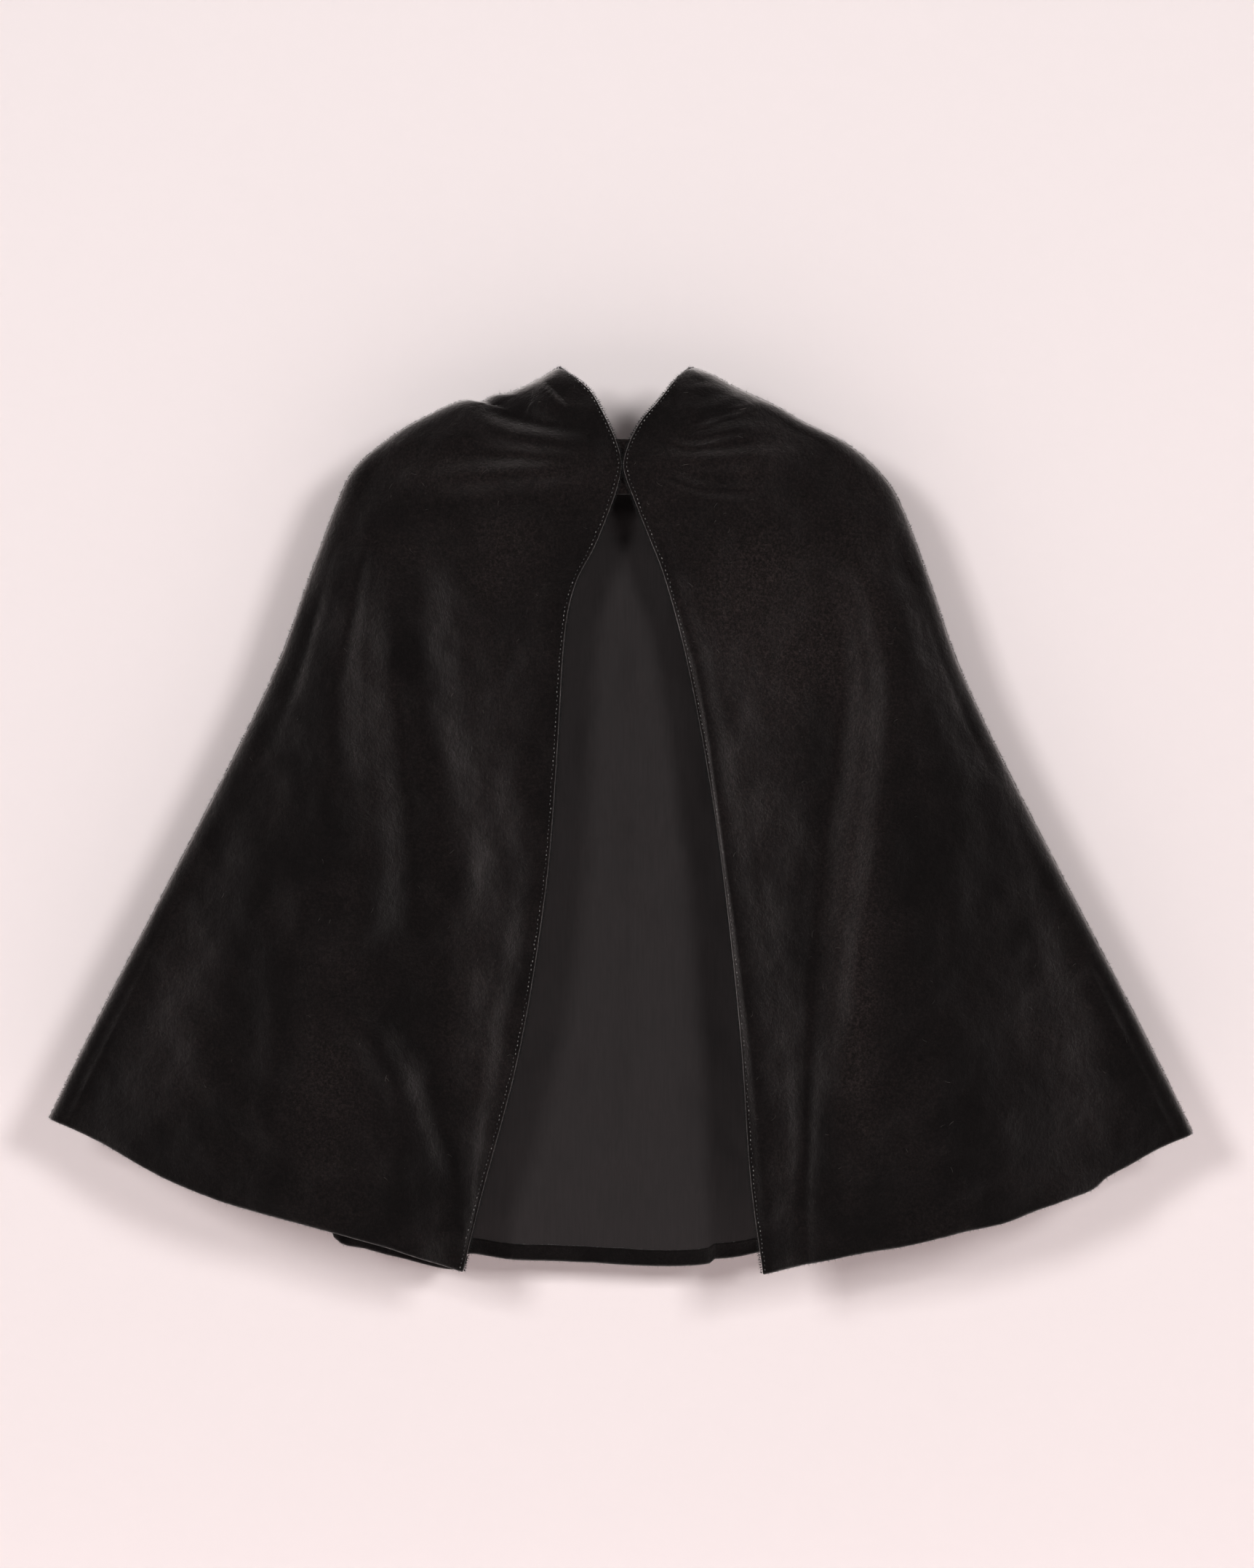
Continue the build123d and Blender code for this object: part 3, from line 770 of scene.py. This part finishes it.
def lint(name, grid, n, count):
    """A few pale fibres that cling to the pile."""
    verts, faces = [], []
    rows, columns = grid.shape[:2]
    for _ in range(count):
        r, c = rng.integers(4, rows - 30), rng.integers(12, columns - 12)
        out, start = n[r, c], grid[r, c] + n[r, c] * (VELVET / 2 + 0.12)
        way = np.cross(out, rng.normal(0, 1, 3))
        way /= np.linalg.norm(way)
        turn, curl = np.cross(out, way), rng.normal(0, 0.7)
        size, points = rng.uniform(1.5, 5.0), []
        for t in np.linspace(0, 1, 7):
            a = curl * t * 2.2
            points.append(start + (way * math.sin(a) + turn * (1 - math.cos(a))) * size
                          / max(abs(curl) * 2.2, 0.3) * np.sign(curl or 1)
                          + out * 0.25 * math.sin(t * 3.1))
        first = len(verts)
        for k, p in enumerate(points):
            for a in (0.0, 2.1, 4.2):
                verts.append(p + (turn * math.cos(a) + out * math.sin(a)) * 0.07)
            if k:
                for j in range(3):
                    a, b = first + (k - 1) * 3 + j, first + (k - 1) * 3 + (j + 1) % 3
                    faces.append((a, b, b + 3, a + 3))
        faces += [(first, first + 2, first + 1), (len(verts) - 3, len(verts) - 2, len(verts) - 1)]
    return finish_piece(mesh_piece(name, np.array(verts) * MM, faces), LINT_LOOK)


def make_front(side, nap_and_sheen, *shape):
    grid, from_edge = front_surface(*shape)
    n = outward(grid, False)
    velvet = thick_sheet(f"{side}_front_velvet", turned_in(grid, n), VELVET, -1)
    finish_piece(velvet, VELVET_LOOK)
    # The front velvet's colour gets painted sheen patches over the nap's clouds.
    paint_nap_and_sheen(velvet, nap_and_sheen)
    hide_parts(f"{side}_front_shell", f"{side}_flap_shell")
    cotton = lining_of(grid, n, from_edge)
    lining = thick_sheet(f"{side}_front_cotton", cotton, LINING, -1)
    finish_piece(lining, LINING_LOOK)
    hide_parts(f"{side}_front_lining", f"{side}_flap_lining")
    line = inset_line(grid, n, from_edge, STITCH_INSET, VELVET / 2)
    stitches = stitch_row(f"{side}_edge_stitches", line)
    finish_piece(stitches, THREAD_LOOK)
    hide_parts(f"{side}_edge_stitching")
    felling = hem_stitches(f"{side}_front_hem_stitches", cotton, True)
    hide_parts(f"{side}_front_hem_seam", f"{side}_flap_hem_seam")
    pile = fuzz(f"{side}_front_pile", *rim_points(grid), 14000, 1.8)
    fibres = lint(f"{side}_front_lint", grid, n, 70)
    for piece in (velvet, lining, stitches, felling, pile, fibres):
        bend_front(piece)
    return grid, velvet, lining, stitches, felling


def make_back():
    grid = back_surface()
    n = outward(grid, True)
    velvet = thick_sheet("back_velvet", turned_in(grid, n), VELVET, 1)
    finish_piece(velvet, VELVET_LOOK)
    paint_nap_and_sheen(velvet, BACK_LIGHTER_PATCHES)
    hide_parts("back_shell")
    lining = grid - n * LINING_STANDOFF
    climb = np.cumsum(np.linalg.norm(np.diff(grid[::-1, grid.shape[1] // 2], axis=0), axis=-1))
    keep = len(grid) - int(np.searchsorted(climb, 8.0)) - 1
    lining = lining[2:keep]
    lining[..., 1] -= fold_relief(lining[..., 0], lining[..., 2], BACK_LINING_WRINKLES)
    cotton = thick_sheet("back_cotton", lining, LINING, 1)
    finish_piece(cotton, LINING_LOOK)
    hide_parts("back_lining")
    felling = hem_stitches("back_hem_stitches", lining, False)
    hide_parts("back_hem_seam")
    down = np.cumsum(np.linalg.norm(np.diff(grid[:, grid.shape[1] // 2], axis=0), axis=-1))
    row = int(np.searchsorted(down, STITCH_INSET)) + 1
    line = np.concatenate([grid[row] + n[row] * VELVET / 2, n[row]], axis=-1)[14:-14]
    neck = finish_piece(stitch_row("back_neck_stitches", line), THREAD_LOOK)
    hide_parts("neck_stitching")
    pile = fuzz("back_pile", *rim_points(grid), 16000, 1.8)
    fibres = lint("back_lint", grid, n, 40)
    for piece in (velvet, cotton, felling, neck, pile, fibres):
        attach(piece, "root")
    return grid, velvet, cotton, felling, neck


def make_side_seams(side, grid):
    """The two seams down one side: velvet to velvet at the silhouette, and lining to lining."""
    inward = 1 if side == "right" else -1
    path = grid[6:-6, 0].copy()
    path[:, 1] = 0
    seams = []
    for kind, inset, facing in (("side", 0.2, -inward), ("lining", 2.6, inward)):
        outs = np.zeros_like(path)
        outs[:, 0] = facing
        line = np.concatenate([path + [inward * inset, 0, 0], outs], -1)
        seam = stitch_row(f"{side}_{kind}_stitches", line, pitch=2.6, length=2.1, radius=0.2)
        finish_piece(seam, THREAD_LOOK)
        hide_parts(f"{side}_{kind}_seam")
        seams.append(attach(seam, "root"))
    return seams


right = make_front("right", RIGHT_PAINTED_SHEEN, RIGHT_SIDE, RIGHT_EDGE, RIGHT_HEM, RIGHT_FRONT_FOLDS,
                   RIGHT_FRONT_WAVES)
left = make_front("left", LEFT_PAINTED_SHEEN, LEFT_SIDE, LEFT_EDGE, LEFT_HEM, LEFT_FRONT_FOLDS,
                  LEFT_FRONT_WAVES)
back = make_back()
make_side_seams("right", right[0])
make_side_seams("left", left[0])


# --- Closure tab -------------------------------------------------------------------------
def node_box(node):
    low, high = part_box(node)
    return np.array(low) / MM, np.array(high) / MM


def tab_layer(name, node, towards_back):
    """One velvet layer of the tab: the two layers close on each other along their borders."""
    low, high = node_box(node)
    sewn, _ = node_box("closure_tab_sewn_end")
    x = np.concatenate([sewn[0] + 0.8 * np.linspace(0, 1, 9) ** 2,
                        np.linspace(sewn[0] + 1.2, high[0] - 1.6, 70),
                        high[0] - 1.2 + 1.2 * np.linspace(0, 1, 9) ** 0.5])
    z = np.concatenate([np.linspace(high[2], high[2] - 1.4, 9),
                        np.linspace(high[2] - 1.8, low[2] + 1.8, 34),
                        np.linspace(low[2] + 1.4, low[2], 9)])
    gx, gz = np.meshgrid(x, z)
    border = np.minimum(np.minimum(gx - x[0], x[-1] - gx), np.minimum(z[0] - gz, gz - z[-1]))
    closed = np.sqrt(1 - (1 - np.clip(border / 1.6, 0, 1)) ** 2)
    other = "closure_tab_front" if towards_back else "closure_tab_back"
    between = (low[1] + high[1] + sum(c[1] for c in node_box(other))) / 4
    thick = high[1] - low[1]
    seat = (low[1] + high[1]) / 2
    near = between + (0.36 if towards_back else -0.36) * thick
    y = near + (seat - near) * closed
    y = y + (1 if towards_back else -1) * (0.08 * np.sin(gx * 0.31) * np.sin(gz * 0.23)) * closed
    layer = thick_sheet(name, np.stack([gx, y, gz], -1), thick * 0.72, 1 if towards_back else -1)
    finish_piece(layer, VELVET_LOOK)
    # One patch sets the whole tab at the light end of the velvet's colour.
    paint_nap_and_sheen(layer, [(0, -62, 80, 60, 1.0)])
    return layer


def ring_stitches(name, x, z, y, facing):
    """A rectangle of stitches on a flat face."""
    corners = [(x[0], z[0]), (x[1], z[0]), (x[1], z[1]), (x[0], z[1]), (x[0], z[0])]
    path = []
    for (ax, az), (bx, bz) in zip(corners, corners[1:]):
        for t in np.linspace(0, 1, 12, endpoint=False):
            path.append((ax + (bx - ax) * t, y, az + (bz - az) * t, 0, facing, 0))
    piece = stitch_row(name, np.array(path), pitch=2.6, length=1.9, radius=0.16, wander=0.05)
    return finish_piece(piece, THREAD_LOOK)


def tape(name, low, high, facing, look, kind):
    """Hook or loop tape: a thin woven ground with moulded hooks or soft loops on one face."""
    thick = high[1] - low[1]
    ground = 0.36 * thick
    y0, y1 = (low[1], low[1] + ground) if facing > 0 else (high[1] - ground, high[1])
    x, z = np.linspace(low[0], high[0], 24), np.linspace(high[2], low[2], 30)
    gx, gz = np.meshgrid(x, z)
    base = thick_sheet(name, np.stack([gx, np.full_like(gx, (y0 + y1) / 2), gz], -1), ground * 0.9,
                       facing)
    face, room = (y1 if facing > 0 else y0), thick - ground
    verts, faces = [], []
    step = 1.25 if kind == "hooks" else 0.8
    for cx in np.arange(low[0] + 0.9, high[0] - 0.7, step):
        for cz in np.arange(low[2] + 0.9, high[2] - 0.7, step):
            turn = 0.0 if kind == "hooks" else rng.uniform(0, math.pi)
            px, pz = cx + rng.normal(0, 0.03 if kind == "hooks" else 0.2), cz
            tall = room * (0.95 if kind == "hooks" else rng.uniform(0.55, 0.95))
            reach = 0.45 if kind == "hooks" else rng.uniform(0.4, 0.8)
            end = 1.45 if kind == "hooks" else 2.0
            radius = 0.1 if kind == "hooks" else 0.055
            first = len(verts)
            for k, t in enumerate(np.linspace(0, end, 7)):
                a = t * math.pi / 2
                up, out = tall * math.sin(a), reach * (1 - math.cos(a)) / 2
                centre = np.array([px + out * math.cos(turn), face + facing * (up - 0.02),
                                   pz + out * math.sin(turn)])
                for j in range(4):
                    b = j * math.pi / 2
                    verts.append(centre + radius * np.array([
                        math.sin(b) * math.sin(turn), 0.5 * math.cos(b), math.sin(b)]))
                if k:
                    for j in range(4):
                        c, d = first + (k - 1) * 4 + j, first + (k - 1) * 4 + (j + 1) % 4
                        faces.append((c, d, d + 4, c + 4))
    verts = np.array(verts)
    verts[:, 1] = np.clip(verts[:, 1], low[1], high[1])
    pile = mesh_piece(f"{name}_{kind}", verts * MM, faces)
    for piece in (base, pile):
        finish_piece(piece, look)
    return base, pile


tab_front = tab_layer("closure_tab_velvet_front", "closure_tab_front", False)
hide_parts("closure_tab_front", "closure_tab_sewn_end")
tab_back = tab_layer("closure_tab_velvet_back", "closure_tab_back", True)
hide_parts("closure_tab_back")
for layer in (tab_front, tab_back):
    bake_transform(layer)

low, high = node_box("hook_tape")
hook_tape = tape("hook_tape_ground", low, high, -1, HOOK_LOOK, "hooks")
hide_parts("hook_tape")
for piece in hook_tape:
    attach(piece, "closure_tab")
low, high = node_box("loop_tape")
loop_tape = tape("loop_tape_ground", low, high, 1, LOOP_LOOK, "loops")
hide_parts("loop_tape")
for piece in loop_tape:
    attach(piece, "root")
low, high = node_box("hook_tape_stitching")
tape_stitches = ring_stitches("hook_tape_stitches", (low[0] + 0.3, high[0] - 0.3),
                              (high[2] - 0.3, low[2] + 0.3), low[1] + 0.1, 1)
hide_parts("hook_tape_stitching")
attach(tape_stitches, "closure_tab")
low, high = node_box("tab_stitching")
tab_stitches = ring_stitches("closure_tab_stitches", (low[0] + 0.3, high[0] - 0.3),
                             (high[2] - 0.3, low[2] + 0.3), low[1] + 0.1, 1)
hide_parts("tab_stitching")
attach(tab_stitches, "root")

for node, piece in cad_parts.items():
    if not piece.hide_render:
        piece.data.materials.clear()
        look = (THREAD_LOOK if "stitching" in node or "seam" in node else
                HOOK_LOOK if node == "hook_tape" else LOOP_LOOK if node == "loop_tape" else
                INTERFACING_LOOK if node == "tab_interfacing" else VELVET_LOOK)
        piece.data.materials.append(look)


# --- Wall, floor, light and camera -------------------------------------------------------
def stage_material(name, colour, one_sided=False):
    mat, nodes, links, shader = material(name, rough=0.9, base=colour)
    shader.inputs["Specular IOR Level"].default_value = 0.1
    if one_sided:
        clear = nodes.new("ShaderNodeBsdfTransparent")
        face = nodes.new("ShaderNodeNewGeometry")
        mix = nodes.new("ShaderNodeMixShader")
        links.new(face.outputs["Backfacing"], mix.inputs[0])
        links.new(shader.outputs[0], mix.inputs[1])
        links.new(clear.outputs[0], mix.inputs[2])
        links.new(mix.outputs[0], nodes["Material Output"].inputs["Surface"])
    return mat


def stage_plane(name, centre, size, rotation, look):
    bpy.ops.mesh.primitive_plane_add(size=1, location=centre, rotation=rotation)
    plane = bpy.context.object
    plane.name = name
    plane.scale = (*size, 1)
    plane.data.materials.append(look)
    return plane


PALE = (0.87, 0.79, 0.787)
wall = stage_plane("wall", (0, 0.075, 0.0), (5.0, 3.0), (math.pi / 2, 0, 0),
                   stage_material("wall_paint", PALE, one_sided=True))
wall.visible_shadow = False
stage_plane("floor", (0, -1.2, -0.83), (6.0, 6.0), (0, 0, 0), stage_material("floor_paint", PALE))


def area_light(name, at, aim, size, power):
    data = bpy.data.lights.new(name, "AREA")
    data.shape, data.size, data.energy = "SQUARE", size, power
    lamp = bpy.data.objects.new(name, data)
    lamp.location = at
    lamp.rotation_euler = (Vector(aim) - Vector(at)).to_track_quat("-Z", "Y").to_euler()
    bpy.context.scene.collection.objects.link(lamp)


MIDDLE = (0, 0, -0.3)
area_light("key_left", (-1.35, -3.25, 0.5), MIDDLE, 0.7, 51)
area_light("key_right", (1.35, -3.25, 0.5), MIDDLE, 0.7, 51)
area_light("back_key_left", (-1.6, 3.1, 0.6), MIDDLE, 0.9, 75)
area_light("back_key_right", (1.6, 3.1, 0.6), MIDDLE, 0.9, 75)
area_light("side_left", (-3.2, -0.2, 0.3), MIDDLE, 1.4, 5)
area_light("side_right", (3.2, -0.2, 0.3), MIDDLE, 1.4, 5)
bpy.context.scene.view_settings.view_transform = "Standard"

world = bpy.data.worlds.new("studio")
world.use_nodes = True
world.node_tree.nodes["Background"].inputs["Color"].default_value = (1.0, 0.97, 0.965, 1)
world.node_tree.nodes["Background"].inputs["Strength"].default_value = 0.08
bpy.context.scene.world = world

camera = bpy.data.cameras.new("camera")
camera.sensor_fit, camera.sensor_height, camera.lens = "VERTICAL", 24.0, 70.3
camera.clip_end = 50
view = bpy.data.objects.new("camera", camera)
view.location = (0.00285, -3.02, -0.2698)
view.rotation_euler = (math.pi / 2, 0, 0)
bpy.context.scene.collection.objects.link(view)
bpy.context.scene.camera = view
